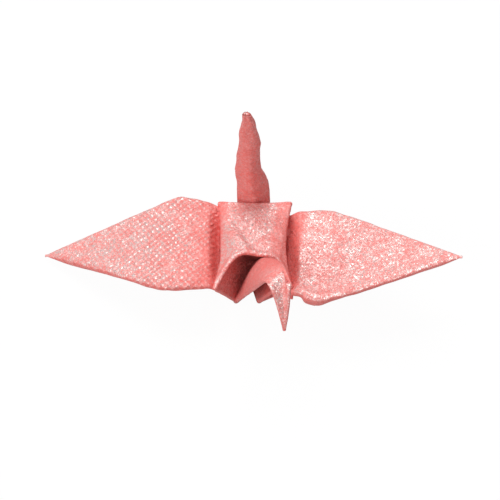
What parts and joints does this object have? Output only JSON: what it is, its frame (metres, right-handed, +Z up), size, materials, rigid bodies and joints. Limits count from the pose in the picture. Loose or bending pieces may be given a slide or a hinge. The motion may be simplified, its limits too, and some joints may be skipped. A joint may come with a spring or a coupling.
{
  "type": "origami crane",
  "caption": "Folded paper crane with spread wings, a puffed back, a raised tail and a neck that bends down to the head.",
  "frame": {"origin": "on the table, below the middle of the overall box", "axes": "+X to the right wing tip, +Y to the tail, +Z up, the head towards -Y"},
  "size_m": [0.0748, 0.034, 0.0381],
  "materials": {
    "pearl_paper": "coral pink pearlescent glitter paper with a fine emboss, coloured on the side that shows"
  },
  "bodies": {
    "root": {"folded_sheet": "pearl_paper"}
  },
  "joints": []
}
